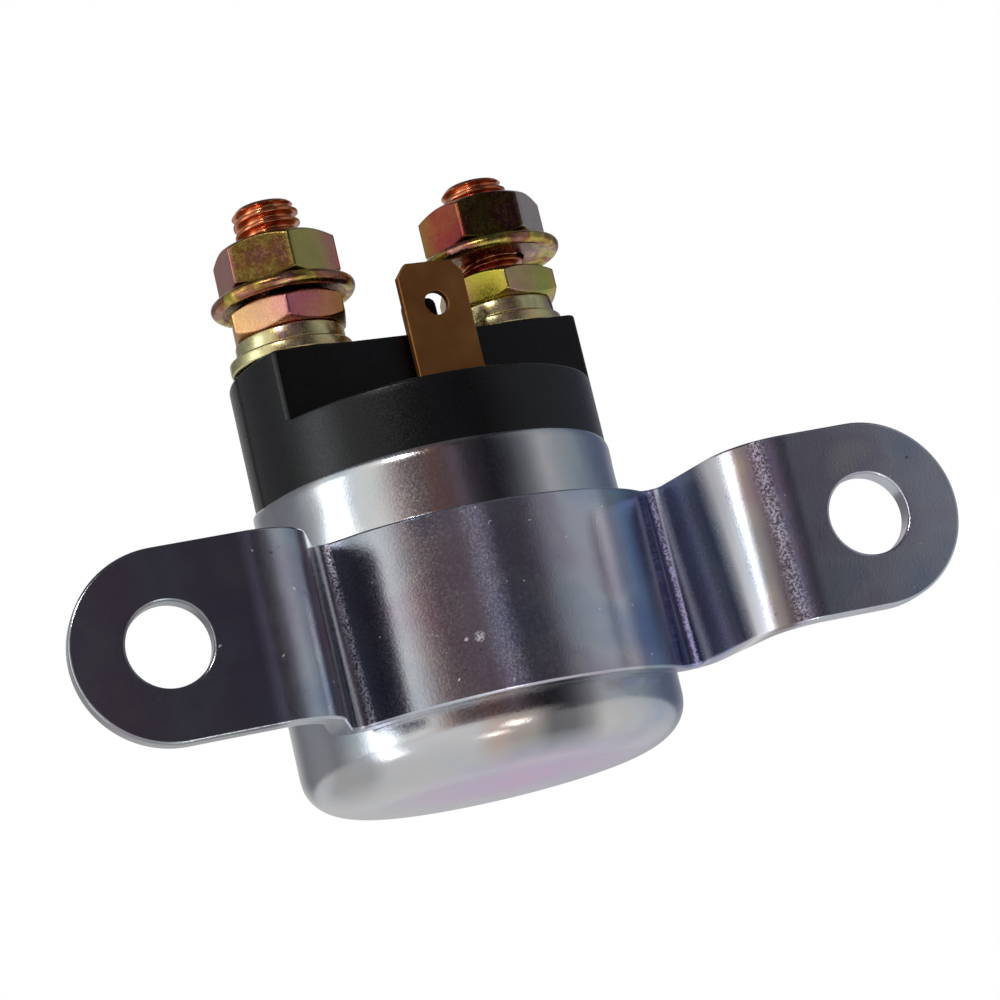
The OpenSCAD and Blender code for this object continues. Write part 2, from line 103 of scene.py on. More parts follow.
def gridFaces(rows, columns, wrapRows=False, wrapColumns=True):
    # quads between neighbouring rows and columns, with each direction closed if asked
    i = np.arange(rows if wrapRows else rows - 1)[:, None]
    j = np.arange(columns if wrapColumns else columns - 1)[None, :]
    a = i * columns + j
    b = i * columns + (j + 1) % columns
    c = ((i + 1) % rows) * columns + (j + 1) % columns
    d = ((i + 1) % rows) * columns + j
    return np.stack([a, b, c, d], -1).reshape(-1, 4).tolist()


def aroundAxis(radius, turn, height):
    return np.stack([radius * np.cos(turn), radius * np.sin(turn), height], -1)


def revolved(profile, steps, wobble=None):
    # the profile's radius and height carried round a full turn
    profile = np.asarray(profile, float)
    turn = np.linspace(0, 2 * np.pi, steps, endpoint=False)
    radius = np.repeat(profile[:, :1], steps, 1)
    height = np.repeat(profile[:, 1:], steps, 1)
    if wobble is not None:
        radius, height = wobble(radius, height, turn[None, :])
    return aroundAxis(radius, turn, height)


def arcProfile(centre, radius, start, end, steps):
    # points on part of a circle between two directions in degrees
    a = np.radians(np.linspace(start, end, steps))
    return [(centre[0] + radius * c, centre[1] + radius * s) for c, s in zip(np.cos(a), np.sin(a))]


def doubled(points, faces, thickness, place):
    # a flat sheet's two faces at depth zero and full thickness, joined along every open edge
    quads = np.asarray(faces)
    count = len(points)
    front, back = place(points, 0.0), place(points, thickness)
    a, b = quads.ravel(), np.roll(quads, -1, 1).ravel()
    alone = ~np.isin(a * count + b, b * count + a)
    rim = np.stack([b[alone], a[alone], a[alone] + count, b[alone] + count], -1)
    allFaces = np.concatenate([quads, quads[:, ::-1] + count, rim])
    return np.concatenate([front, back]), allFaces.tolist()


def roundEdges(piece, width):
    # edges sharper than 40 degrees
    bevel = piece.modifiers.new("edgeBreak", "BEVEL")
    bevel.width = width * mm
    bevel.segments = 3
    bevel.limit_method = "ANGLE"
    bevel.angle_limit = math.radians(40)


# Finishes, each named for its material and how it was made

def addNode(tree, kind, settings=None, links=None):
    node = tree.nodes.new(kind)
    for key, value in (settings or {}).items():
        if isinstance(key, str) and hasattr(node, key):
            setattr(node, key, value)
        else:
            node.inputs[key].default_value = value
    for key, socket in (links or {}).items():
        tree.links.new(socket, node.inputs[key])
    return node


def emptyTree(owner):
    owner.use_nodes = True
    owner.node_tree.nodes.clear()
    return owner.node_tree


def ownPlace(tree):
    return addNode(tree, "ShaderNodeTexCoord").outputs["Object"]


def newMaterial(name):
    material = bpy.data.materials.new(name)
    tree = emptyTree(material)
    shader = addNode(tree, "ShaderNodeBsdfPrincipled")
    addNode(tree, "ShaderNodeOutputMaterial", links={"Surface": shader.outputs["BSDF"]})
    return material, tree, shader, ownPlace(tree)


def reopened(material):
    # a finished material's tree, shader and place, to lay something over it
    tree = material.node_tree
    return tree, next(n for n in tree.nodes if n.type == "BSDF_PRINCIPLED"), ownPlace(tree)


def cloudy(tree, place, size, detail=3.0, rough=0.55, stretch=(1, 1, 1)):
    # soft noise whose features are about size mm across
    spread = addNode(tree, "ShaderNodeMapping", {"Scale": stretch}, {"Vector": place})
    return addNode(tree, "ShaderNodeTexNoise", {"Scale": 1 / (size * mm), "Detail": detail,
                   "Roughness": rough}, {"Vector": spread.outputs[0]}).outputs[0]


def ramp(tree, factor, stops):
    node = addNode(tree, "ShaderNodeValToRGB", links={"Fac": factor})
    marks = node.color_ramp.elements
    while len(marks) < len(stops):
        marks.new(0.5)
    for mark, (position, colour) in zip(marks, stops):
        mark.position = position
        mark.color = toLinear(colour) if isinstance(colour, str) else (colour, colour, colour, 1)
    return node.outputs["Color"]


def blendColour(tree, factor, first, second, mode="MIX"):
    node = addNode(tree, "ShaderNodeMix", {"data_type": "RGBA", "blend_type": mode})
    for index, value in ((0, factor), (6, first), (7, second)):
        if isinstance(value, (int, float)):
            node.inputs[index].default_value = value
        elif isinstance(value, str):
            node.inputs[index].default_value = toLinear(value)
        else:
            tree.links.new(value, node.inputs[index])
    return node.outputs[2]


def mapped(tree, value, source, target=(0.0, 1.0)):
    # a value carried from one range to another, and held at its ends
    return addNode(tree, "ShaderNodeMapRange", {"From Min": source[0], "From Max": source[1], "To Min": target[0],
                   "To Max": target[1]}, {"Value": value}).outputs[0]


def distance(tree, place, point):
    # how far the surface lies from a point given in mm
    return addNode(tree, "ShaderNodeVectorMath", {"operation": "DISTANCE", 1: tuple(v * mm for v in point)},
                   {0: place}).outputs["Value"]


def byHeading(tree, place, tones):
    # the heading round the upright axis, counted from the front towards +X, picks the tone
    aim = addNode(tree, "ShaderNodeMapping", {"Rotation": (0, 0, math.pi / 2)}, {"Vector": place})
    sweep = addNode(tree, "ShaderNodeTexGradient", {"gradient_type": "RADIAL"}, {"Vector": aim.outputs[0]})
    return ramp(tree, sweep.outputs["Fac"], [((h + 180) / 360, c) for h, c in tones])


def surfaced(tree, shader, colour, fine, roughness, grainDepth, metallic=1.0):
    # the colour, and the fine grain in gloss and height
    tree.links.new(colour, shader.inputs["Base Color"])
    gloss = ramp(tree, fine, [(0.3, roughness[0]), (0.7, roughness[1])])
    tree.links.new(gloss, shader.inputs["Roughness"])
    shader.inputs["Metallic"].default_value = metallic
    bump = addNode(tree, "ShaderNodeBump", {"Distance": grainDepth * mm, "Strength": 1.0}, {"Height": fine})
    tree.links.new(bump.outputs["Normal"], shader.inputs["Normal"])


def metalFinish(name, tones, toneSize, roughness, grain, grainDepth, flecks=None, stretch=(1, 1, 1)):
    # a plated or turned metal: slow colour drift, fine grain in gloss and height, sparse flecks
    material, tree, shader, place = newMaterial(name)
    colour = ramp(tree, cloudy(tree, place, toneSize, 2.5), tones)
    if flecks:
        spots = cloudy(tree, place, flecks["size"], 2.0, 0.5)
        mask = ramp(tree, spots, [(flecks["from"], 0.0), (flecks["from"] + 0.05, 1.0)])
        colour = blendColour(tree, mask, colour, flecks["colour"])
    surfaced(tree, shader, colour, cloudy(tree, place, grain, 4.0, 0.6, stretch), roughness, grainDepth)
    return material


def plasticFinish(name, dark, light, roughness, grain, grainDepth, sheen=0.5):
    # a moulded plastic: a slight mottle, and the mould's fine grain in gloss and height
    material, tree, shader, place = newMaterial(name)
    tone = ramp(tree, cloudy(tree, place, 5.0), [(0.35, dark), (0.7, light)])
    shader.inputs["Specular IOR Level"].default_value = sheen
    surfaced(tree, shader, tone, cloudy(tree, place, grain, 5.0, 0.7), roughness, grainDepth, 0.0)
    return material


# How far the tints and marks across x reach to each side of the middle, in mm
acrossSpan = 40.0


def filmAndReflectionAcross(material, tones, heights, depths):
    # a tint that follows x and multiplies the plate, in full above the second height and in front of the second
    # depth:
    # partly the passivation film's own tint, partly painted reflection, where darker bands stand in for dark
    # surroundings mirrored in the metal
    tree, shader, place = reopened(material)
    plate = shader.inputs["Base Color"].links[0].from_socket
    parts = addNode(tree, "ShaderNodeSeparateXYZ", links={"Vector": place})
    tint = ramp(tree, spanned(tree, parts.outputs["X"]), [(asShare(x), c) for x, c in tones])
    up, ahead = (mapped(tree, parts.outputs[axis], [v * mm for v in span])
                 for axis, span in (("Z", heights), ("Y", depths)))
    share = addNode(tree, "ShaderNodeMath", {"operation": "MULTIPLY"}, {0: up, 1: ahead}).outputs[0]
    tree.links.new(blendColour(tree, share, plate, tint, "MULTIPLY"), shader.inputs["Base Color"])


def asShare(x):
    # a place in mm along x, as a share of the whole span
    return (x + acrossSpan) / (2 * acrossSpan)


def spanned(tree, across):
    return mapped(tree, across, (-acrossSpan * mm, acrossSpan * mm))


def humps(lines):
    # triangular humps: each from nothing to its peak and back over its half width
    stops = [(0.0, 0.0)]
    for x, half, peak in lines:
        stops += [(asShare(x - half), 0.0), (asShare(x), peak), (asShare(x + half), 0.0)]
    return stops


def rubAndHighlights(material, marks):
    # pale lines across the strap, some of them broken up by fine noise, with sparse dots and one spot: where any
    # of these is strong the zinc is matt and pale. The rough lines are partly rubbed wear and partly painted
    # highlight; the smooth lines and the spot are painted highlights
    tree, shader, place = reopened(material)
    plate, gloss = (shader.inputs[k].links[0].from_socket for k in ("Base Color", "Roughness"))
    parts = addNode(tree, "ShaderNodeSeparateXYZ", links={"Vector": place})
    lean = addNode(tree, "ShaderNodeMath", {"operation": "MULTIPLY_ADD", 1: marks["lean"]},
                   {0: parts.outputs["Z"], 2: parts.outputs["X"]}).outputs[0]
    along = spanned(tree, lean)
    specks = ramp(tree, cloudy(tree, place, marks["size"], 3.0, 0.65), [(0.42, 0.12), (0.58, 1.0)])
    wearAndHighlight = blendColour(tree, 1.0, ramp(tree, along, humps(marks["rough"])), specks, "MULTIPLY")
    dots = ramp(tree, cloudy(tree, place, marks["dotSize"], 1.0, 0.4), marks["dots"])
    reach = [v * mm for v in marks["glintSpotReach"]]
    near = mapped(tree, distance(tree, place, marks["glintSpot"]), reach, (1.0, 0.0))
    glintSpot = blendColour(tree, 1.0, near, specks, "MULTIPLY")
    for other in (ramp(tree, along, humps(marks["smooth"])), dots, glintSpot):
        wearAndHighlight = blendColour(tree, 1.0, wearAndHighlight, other, "LIGHTEN")
    tone = ramp(tree, along, [(asShare(x), c) for x, c in marks["tones"]])
    tree.links.new(blendColour(tree, wearAndHighlight, plate, tone), shader.inputs["Base Color"])
    tree.links.new(blendColour(tree, wearAndHighlight, gloss, marks["gloss"]), shader.inputs["Roughness"])
    tree.links.new(ramp(tree, wearAndHighlight, [(0.0, 1.0), (1.0, 0.3)]), shader.inputs["Metallic"])


# Bright zinc electroplate on stamped sheet: a bluish metal with faint lilac drift and pinholes
zincPlate = metalFinish("zincPlateOnStampedSheet", [(0.30, "#aab6cb"), (0.48, "#c6cad2"), (0.60, "#bfb9c8"),
    (0.75, "#d2d1ce")], 9.0, (0.09, 0.25), 0.20, 0.012, {"size": 0.9, "from": 0.72, "colour": "#8d8fa0"})
# painted reflection on the strap: the darker grey bands on the left ear and leg, and the teal, violet and deep
# blue bands right of the wrap, stand in for dark surroundings and the legs mirrored in the plate; the blue and
# lilac hues are partly the film's own
filmAndReflectionAcross(zincPlate, [(-36.0, "#cdcdca"), (-29.6, "#bcbfba"), (-23.1, "#9c9e9c"), (-21.8, "#f0f0ee"),
    (-16.8, "#ffffff"), (-16.0, "#c2c0c8"), (-12.0, "#c0c2c8"), (-10.2, "#ffffff"), (9.4, "#ffffff"),
    (10.4, "#c2cad0"), (12.0, "#b4ccd6"), (13.4, "#b2b2c6"), (15.4, "#b8bed6"), (17.0, "#c2c8de"),
    (18.2, "#ffffff"), (19.5, "#ffffff"), (20.3, "#c9b7ab"), (21.2, "#9c8c90"), (22.6, "#f4f4f8"),
    (24.0, "#ffffff")], (-20, -19), (40, 39))
# painted highlights on the strap: the smooth lines in both creases and at the right bend, and the one spot on the
# left, are painted highlights; the rough lines are partly rubbed wear, partly painted highlight
rubAndHighlights(zincPlate, {
    "lean": 0.03, "size": 0.2, "gloss": "#bcbcbc", "dotSize": 0.6, "dots": [(0.77, 0.0), (0.80, 0.45)],
    "glintSpot": (-4.0, 5.05, -3.1), "glintSpotReach": (0.3, 0.7),
    "rough": [(-13.5, 0.4, 1.0), (-2.1, 1.6, 0.22), (15.95, 0.25, 1.0), (22.0, 0.9, 0.6)],
    "smooth": [(-14.3, 0.2, 0.9), (16.68, 0.22, 1.0), (17.45, 0.5, 0.35), (18.85, 0.7, 0.8)],
    "tones": [(-14.3, "#ffffff"), (-13.4, "#f2eaff"), (-8.0, "#ffffff"), (12.0, "#efe8ff"),
        (15.95, "#c4b4f0"), (16.6, "#ffffff"), (17.3, "#566ad0"), (18.2, "#ffffff"), (20.2, "#f2f6f8"),
        (21.8, "#d8ccec")]})


def reflectionBlushedPlate(name, tones, reflectionBlush):
    # zinc plate on drawn steel, tinted near one point by a share that falls off with distance: the tint is
    # painted reflection
    material, tree, shader, place = newMaterial(name)
    drift = ramp(tree, cloudy(tree, place, 8.0, 3.0), tones)
    gap = distance(tree, place, reflectionBlush["at"])
    near = mapped(tree, gap, (reflectionBlush["core"] * mm, reflectionBlush["reach"] * mm), (reflectionBlush["share"], 0.0))
    tint = ramp(tree, cloudy(tree, place, 5.0, 3.0), [(0.42, reflectionBlush["inner"]), (0.6, reflectionBlush["outer"])])
    fine = cloudy(tree, place, 0.2, 4.0, 0.6)
    surfaced(tree, shader, blendColour(tree, near, drift, tint), fine, (0.10, 0.25), 0.011)
    return material


# painted reflection: a pink-lilac patch on the middle of the base stands in for the surroundings the base mirrors
canZinc = reflectionBlushedPlate("zincPlateOnDrawnSteel", [(0.32, "#b9c0ca"), (0.48, "#c8ccd1"), (0.64, "#cfcdce"),
    (0.75, "#d6d6d2")], {"at": (1.2, 21.5, -13.3), "core": 5.0, "reach": 13.0, "share": 0.9,
    "inner": "#d59ad4", "outer": "#c0a9da"})
# painted reflection on the front of the can's wall: the darker grey band just right of the middle and the bluish
# right side stand in for dark and blue surroundings that the wall mirrors
filmAndReflectionAcross(canZinc, [(-16.4, "#ffffff"), (-15.6, "#dadada"), (-13.4, "#d8d8d8"), (-12.2, "#ffffff"),
    (-5.6, "#ffffff"), (-3.9, "#fbe0d0"), (-0.5, "#d6ccc4"), (1.1, "#908e90"), (3.1, "#98989a"),
    (4.6, "#c0c0c2"), (6.2, "#ffffff"), (10.0, "#ffffff"), (12.0, "#e6ecfa"), (15.0, "#dae2f2")],
    (-13.2, -11.6), (24, 20))

# Yellow chromate over zinc: thin and pale on the washers, thick and dark on the rings
paleChromate = metalFinish("paleChromateOnZinc", [(0.30, "#aaa57c"), (0.45, "#d4ca98"), (0.56, "#ccb684"),
    (0.66, "#c4a9a2"), (0.76, "#dad3bb")], 2.6, (0.18, 0.34), 0.25, 0.010)
darkChromate = metalFinish("darkChromateOnZinc", [(0.30, "#77723a"), (0.42, "#c9b05a"), (0.52, "#93663e"),
    (0.62, "#a9716a"), (0.74, "#d6b66c")], 2.8, (0.16, 0.32), 0.25, 0.014)


def chromateNut(name, side, tones):
    # yellow chromate, an iridescent film from olive through gold to rose, laid lightly over a colour that follows
    # the heading round the stud: partly each face's own film colour, partly painted reflection on the faces
    material, tree, shader, place = newMaterial(name)
    middle = atStud([0.0, 0.0, 0.0], side) * mm
    own = addNode(tree, "ShaderNodeMapping", {"Location": (-middle[0], -middle[1], 0)}, {"Vector": place})
    film = ramp(tree, cloudy(tree, place, 3.4, 2.0, 0.5),
                [(0.32, "#7d8440"), (0.44, "#c8b25c"), (0.52, "#b8804f"), (0.62, "#bd7184"), (0.74, "#d2b26a")])
    colour = blendColour(tree, 0.16, byHeading(tree, own.outputs[0], tones), film)
    veins = ramp(tree, cloudy(tree, place, 1.5, 5.0, 0.7), [(0.47, 0.0), (0.5, 0.14), (0.53, 0.0)])
    colour = blendColour(tree, veins, colour, "#d9bf63")
    surfaced(tree, shader, colour, cloudy(tree, place, 0.25, 4.0, 0.6), (0.20, 0.36), 0.010)
    return material


# Turned copper with a rolled thread: warm red, burnished on the crests
copper = metalFinish("rolledCopper", [(0.3, "#b05c3a"), (0.55, "#cf8158"), (0.75, "#e8b08c")], 1.6,
    (0.14, 0.28), 0.18, 0.006)
# Stamped brass left to tarnish: a dull bronze brown
tarnishedBrass = metalFinish("tarnishedStampedBrass", [(0.3, "#85552f"), (0.55, "#936337"),
    (0.75, "#a37345")], 4.0, (0.42, 0.54), 0.16, 0.008, {"size": 0.5, "from": 0.73, "colour": "#5d4020"})
softIron = metalFinish("zincPlatedSoftIron", [(0.3, "#8e9199"), (0.7, "#a6a8ad")], 5.0, (0.3, 0.42), 0.25,
    0.006)
springSteel = metalFinish("drawnSpringSteel", [(0.3, "#84868b"), (0.7, "#9b9da1")], 2.0, (0.25, 0.36), 0.15,
    0.004)
tubeBrass = metalFinish("drawnBrassTube", [(0.3, "#c9a554"), (0.7, "#d9bb70")], 4.0, (0.22, 0.32), 0.2,
    0.004)
# Enamelled copper wire laid in turns: fine ridges one wire apart up the winding
enamelledWire = metalFinish("enamelledCopperWire", [(0.3, "#7d3417"), (0.7, "#9c4a22")], 2.5, (0.25, 0.35),
    0.4, 0.05, stretch=(0.05, 0.05, 1.0))
# Compression-moulded phenolic: near black with a fine satin grain
phenolic = plasticFinish("mouldedPhenolic", "#060607", "#0c0c0e", (0.18, 0.36), 0.22, 0.018, 0.3)
sealRubber = plasticFinish("nitrileSealSheet", "#101011", "#18181a", (0.6, 0.75), 0.3, 0.02)
nylon = plasticFinish("mouldedNylon", "#dcd5c2", "#e6e0cf", (0.4, 0.5), 0.4, 0.006)
glassSleeve = plasticFinish("varnishedGlassSleeve", "#d2d2cc", "#e0e0dc", (0.5, 0.65), 0.3, 0.03)
boardPhenolic = plasticFinish("turnedPhenolicBoard", "#5a331a", "#6b4022", (0.4, 0.55), 0.3, 0.01)

# The hidden pieces that keep their CAD meshes
carried = {
    "coil_bobbin": nylon, "coil_winding": enamelledWire, "coil_lead": enamelledWire,
    "lead_sleeve": glassSleeve, "ground_lead": enamelledWire, "flux_plate": softIron,
    "base_plate": softIron, "guide_tube": tubeBrass, "fixed_core": softIron, "plunger": softIron,
    "plunger_rod": springSteel, "spring_seat": springSteel, "rod_clip": springSteel,
    "contact_disc": copper, "disc_bush": boardPhenolic, "disc_washer": boardPhenolic,
    "cap_gasket": sealRubber}
for name, material in carried.items():
    nodes[name].data.materials.clear()
    nodes[name].data.materials.append(material)
print("finishes ready")

# Coil springs on the can's axis, each drawn once between its low and high ends; beside these stand its joint, its
# fixed end and the share of its length that would leave the same gap to the piece that presses it
springs = {
    "returnSpring": {"node": "return_spring", "body": "relay", "joint": "plunger_slide", "radius": 2.45,
                     "low": -5.56, "high": 0.71, "fixed": 0.75, "turns": 4, "keep": 3.31 / 6.31},
    "contactSpring": {"node": "contact_spring", "body": "plunger", "joint": "disc_slide", "radius": 2.9,
                      "low": 7.39, "high": 10.01, "fixed": 7.35, "turns": 2, "keep": 1.86 / 2.66}}
coil = {"wire": 0.6, "sides": 12, "steps": 36, "axisY": 24.4}


def coilGrid(radius, low, high, turns):
    # rings of the wire's section carried round the axis, rising evenly from the lower end to the upper
    half = coil["wire"] / 2
    way = np.linspace(0, turns, turns * coil["steps"] + 1)[:, None]
    about = np.linspace(0, 2 * np.pi, coil["sides"], endpoint=False)[None, :]
    out = radius + half * np.cos(about)
    middle = low + half + (high - low - coil["wire"]) * way / turns
    turn = 2 * np.pi * way
    return aroundAxis(out, turn, middle + half * np.sin(about)) + [0, coil["axisY"], 0]


for title, p in springs.items():
    grid = coilGrid(p["radius"], p["low"], p["high"], p["turns"])
    lastRing = (grid.shape[0] - 1) * coil["sides"]
    faces = gridFaces(grid.shape[0], coil["sides"])
    faces += [list(range(coil["sides"])), list(range(lastRing, lastRing + coil["sides"]))]
    piece = makePiece(title, grid, faces, p["body"], [p["node"]], springSteel)
    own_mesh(piece)
print("springs ready")

# Strap bracket
strap = {"wrap": {-1: math.radians(43.8), 1: math.radians(50.2)}, "leg": math.radians(75),
         "face": 19.35, "crease": 1.0, "earBend": 4.0, "sheet": 2.0, "height": 16.0, "holePitch": 60.0,
         "hole": 7.0, "join": 5.4, "rows": 33, "edge": 0.28, "cuts": (32, 16, 6, 24), "earSteps": 49,
         "joinSteps": 14, "fanRows": 10}


def strapPath(wrapAngle):
    # one half of the mounting face in plan: wrap, crease, straight leg, bend and flat ear, end to end,
    # with the lengths along it at which each of them ends
    p = strap
    creaseCentre = (p["face"] + p["crease"]) * np.array([math.sin(wrapAngle), -math.cos(wrapAngle)])
    legNormal = np.array([math.sin(p["leg"]), math.cos(p["leg"])])
    legWay = np.array([math.cos(p["leg"]), -math.sin(p["leg"])])
    legStart = creaseCentre + p["crease"] * legNormal
    outer = p["earBend"] + p["sheet"]
    legLength = (legStart[1] + capFrame["axisY"] - outer * (1 - math.cos(p["leg"]))) / math.sin(p["leg"])
    legEnd = legStart + legLength * legWay
    bendCentre = legEnd + outer * legNormal
    lengths = [p["face"] * wrapAngle, p["crease"] * (wrapAngle + p["leg"]), legLength, outer * p["leg"]]
    return {"creaseCentre": creaseCentre, "legNormal": legNormal, "legWay": legWay, "legStart": legStart,
            "outer": outer, "bendCentre": bendCentre, "ends": np.cumsum([0, *lengths])}


paths = {side: strapPath(angle) for side, angle in strap["wrap"].items()}
earMiddle = {side: path["ends"][4] + strap["holePitch"] / 2 - path["bendCentre"][0]
             for side, path in paths.items()}


def onHalf(points, depth, half):
    # a flat point's length along the path gives its place and normal, and depth goes in along it
    p, face, creaseRadius = paths[half], strap["face"], strap["crease"]
    along, height = np.abs(points[:, 0]), points[:, 1]
    zones = [along < end for end in p["ends"][1:]]
    wrap = along / face
    crease = math.pi / 2 + strap["wrap"][half] - (along - p["ends"][1]) / creaseRadius
    leg = along - p["ends"][2]
    bend = 1.5 * math.pi - strap["leg"] + (along - p["ends"][3]) / p["outer"]
    flat = along - p["ends"][4]
    onWrap = (face * np.sin(wrap), -face * np.cos(wrap))
    beyond = (p["bendCentre"][0] + flat, -capFrame["axisY"])
    x, y = (np.select(zones, [onWrap[i], p["creaseCentre"][i] + creaseRadius * way(crease),
                              p["legStart"][i] + leg * p["legWay"][i],
                              p["bendCentre"][i] + p["outer"] * way(bend)], beyond[i])
            for i, way in enumerate((np.cos, np.sin)))
    nx = np.select(zones, [-np.sin(wrap), np.cos(crease), p["legNormal"][0] + 0 * leg, -np.cos(bend)], 0.0)
    ny = np.select(zones, [np.cos(wrap), np.sin(crease), p["legNormal"][1] + 0 * leg, -np.sin(bend)], 1.0)
    return np.stack([half * (x + nx * depth), y + ny * depth + capFrame["axisY"], height], -1)


def onStrap(points, depth):
    # each half of the strap follows its own path
    isLeft = points[:, :1] < 0
    return np.where(isLeft, onHalf(points, depth, -1), onHalf(points, depth, 1))


def flatStrap():
    # rows up the strap by columns along it, then a fan from each hole out to its ear's outline
    half = strap["height"] / 2
    z = np.linspace(-half, half, strap["rows"])
    halves = {}
    for side, path in paths.items():
        ends = path["ends"]
        spans = [np.linspace(a, b, cuts + 1)[1:] for a, b, cuts in zip(ends, ends[1:], strap["cuts"])]
        halves[side] = np.concatenate([[0.0], *spans, [earMiddle[side] - strap["join"]]])
    along = np.concatenate([-halves[-1][:0:-1], halves[1]])
    sheet = np.stack(np.meshgrid(along, z, indexing="ij"), -1).reshape(-1, 2)
    faces = np.array(gridFaces(len(along), len(z), False, False))
    allPoints, allFaces = [sheet], [faces]
    count = len(sheet)
    turn = np.linspace(math.pi / 2, -math.pi / 2, strap["earSteps"])
    top = np.linspace(-strap["join"], 0, strap["joinSteps"])[1:-1]
    outline = np.concatenate([
        np.stack([np.full(len(z), -strap["join"]), z], -1),
        np.stack([top, np.full(len(top), half)], -1),
        np.stack([half * np.cos(turn), half * np.sin(turn)], -1),
        np.stack([top[::-1], np.full(len(top), -half)], -1)])
    heading = np.arctan2(outline[:, 1], outline[:, 0])
    rim = strap["hole"] / 2 * np.stack([np.cos(heading), np.sin(heading)], -1)
    share = np.linspace(0, 1, strap["fanRows"])[:, None, None]
    fan = rim[None] * (1 - share) + outline[None] * share
    fanFaces = np.array(gridFaces(strap["fanRows"], len(outline)))
    for side in (-1, 1):
        placed = (fan.reshape(-1, 2) + [earMiddle[side], 0]) * [side, 1]
        allPoints.append(placed)
        allFaces.append(fanFaces[:, ::side] + count)
        count += len(placed)
    return np.concatenate(allPoints), np.concatenate(allFaces)


def weldFlat(points, faces):
    # points that share a place become one, so that the fan and the strap share their edge
    keys = np.round(points, 5)
    unique, index = np.unique(keys, axis=0, return_inverse=True)
    return unique, index.reshape(-1)[faces]


flatPoints, flatFaces = weldFlat(*flatStrap())
turned = np.cross(flatPoints[flatFaces[:, 1]] - flatPoints[flatFaces[:, 0]],
                  flatPoints[flatFaces[:, 2]] - flatPoints[flatFaces[:, 0]])
flatFaces[turned < 0] = flatFaces[turned < 0][:, ::-1]
strapPoints, strapFaces = doubled(flatPoints, flatFaces, strap["sheet"], onStrap)
bracket = makePiece("strapBracket", strapPoints, strapFaces, "relay",
                    ["mounting_bracket"], zincPlate)
roundEdges(bracket, strap["edge"])
print("strap bracket ready")

# Drawn can
can = {"radius": 17.3, "wall": 0.7, "base": -13.3, "corner": 4.5, "lip": 14.45, "neck": 16.2,
       "roll": 0.6, "rollHeight": 1.2, "shoulder": 7.4, "neckAt": 8.5, "flat": 10.3,
       "swell": 2.4, "steps": 240, "wallFrom": -8.0, "rollRise": 0.74,
       "flare": {"at": 165, "wide": 17, "out": 0.35, "up": 0.45, "from": 12.6},
       "dent": {"at": 11.5, "wide": 1.6, "waves": [(0.035, 5, 0.6), (0.025, 11, 2.0)]}}


def canProfile():
    # up the outside from the middle of the base, over the rounded lip and down the inside
    c, w = can, can["wall"]
    inner = c["neck"] - w
    outside = [(r, c["base"]) for r in np.linspace(0, c["flat"], 7)[:-1]]
    # the base swells softly into the corner as a quarter of a superellipse
    way = np.linspace(0, np.pi / 2, 40)
    ends = 2 / c["swell"]
    outside += list(zip(c["flat"] + (c["radius"] - c["flat"]) * np.sin(way) ** ends,
                        c["base"] + c["corner"] * (1 - np.clip(np.cos(way), 0, 1) ** ends)))
    outside += [(c["radius"], z) for z in np.linspace(c["wallFrom"], c["shoulder"], 20)[:-1]]
    ease = np.linspace(0, 1, 9)
    fall = c["neck"] + (c["radius"] - c["neck"]) * (1 - ease * ease * (3 - 2 * ease))
    outside += list(zip(fall, c["shoulder"] + ease * (c["neckAt"] - c["shoulder"])))
    # the rim rolls in as part of an upright ellipse that ends against the cap
    start = c["lip"] - c["rollRise"] * c["rollHeight"]
    outside += [(c["neck"], z) for z in np.linspace(c["neckAt"], start, 16)[1:-1]]
    outside += [(c["neck"] - c["roll"] * (1 - math.cos(a)), start + c["rollHeight"] * math.sin(a))
                for a in np.linspace(0, np.pi / 2, 14)]
    inside = [(inner, start + c["rollHeight"]), (inner, c["neckAt"]), (c["radius"] - w, c["shoulder"])]
    inside += [(c["radius"] - w, c["base"] + c["corner"])]
    inside += arcProfile((c["radius"] - c["corner"], c["base"] + c["corner"]), c["corner"] - w, 0, -90, 9)
    inside += [(0, c["base"] + w)]
    return outside + inside


def canWobble(radius, height, turn):
    # pressing marks: shallow dents round the neck, and none where the strap holds the can
    d, f = can["dent"], can["flare"]
    near = np.exp(-((height - d["at"]) / d["wide"]) ** 2)
    dent = sum(depth * np.sin(count * turn + start) for depth, count, start in d["waves"])
    # the lip is sprung open at one place, by shares that grow towards it and towards the rim
    share = np.exp(-((np.degrees(turn) - f["at"]) / f["wide"]) ** 2)
    share = share * np.clip((height - f["from"]) / (can["lip"] - f["from"]), 0, 1) ** 2
    return radius + near * dent + f["out"] * share, height + f["up"] * share


canGrid = revolved(canProfile(), can["steps"], canWobble)
canGrid[..., 1] += capFrame["axisY"]
makePiece("canShell", canGrid, gridFaces(canGrid.shape[0], can["steps"]), "relay",
          ["case_can"], canZinc, 50)
print("can ready")

# Moulded cap
cap = {"radius": 16.0, "ledge": 20.5, "top": 26.8, "half": 6.8, "chamber": 14.4, "roof": 17.0,
       "flangeLow": 5.5, "flangeTop": 7.35, "flangeRadius": 16.55, "waist": 15.45, "foot": 14.5,
       "edge": 0.3, "blend": 0.12, "steps": 384, "line": 0.06, "lineWidth": 0.11, "groove": 0.8,
       "grooveAt": 0.3, "fineReach": 0.05, "fineSteps": 41}
tab = {"x": 0.1, "front": -6.6, "thick": 1.2, "width": 3.0, "low": 26.5, "top": 30.0, "corner": 0.7,
       "edge": 0.15}


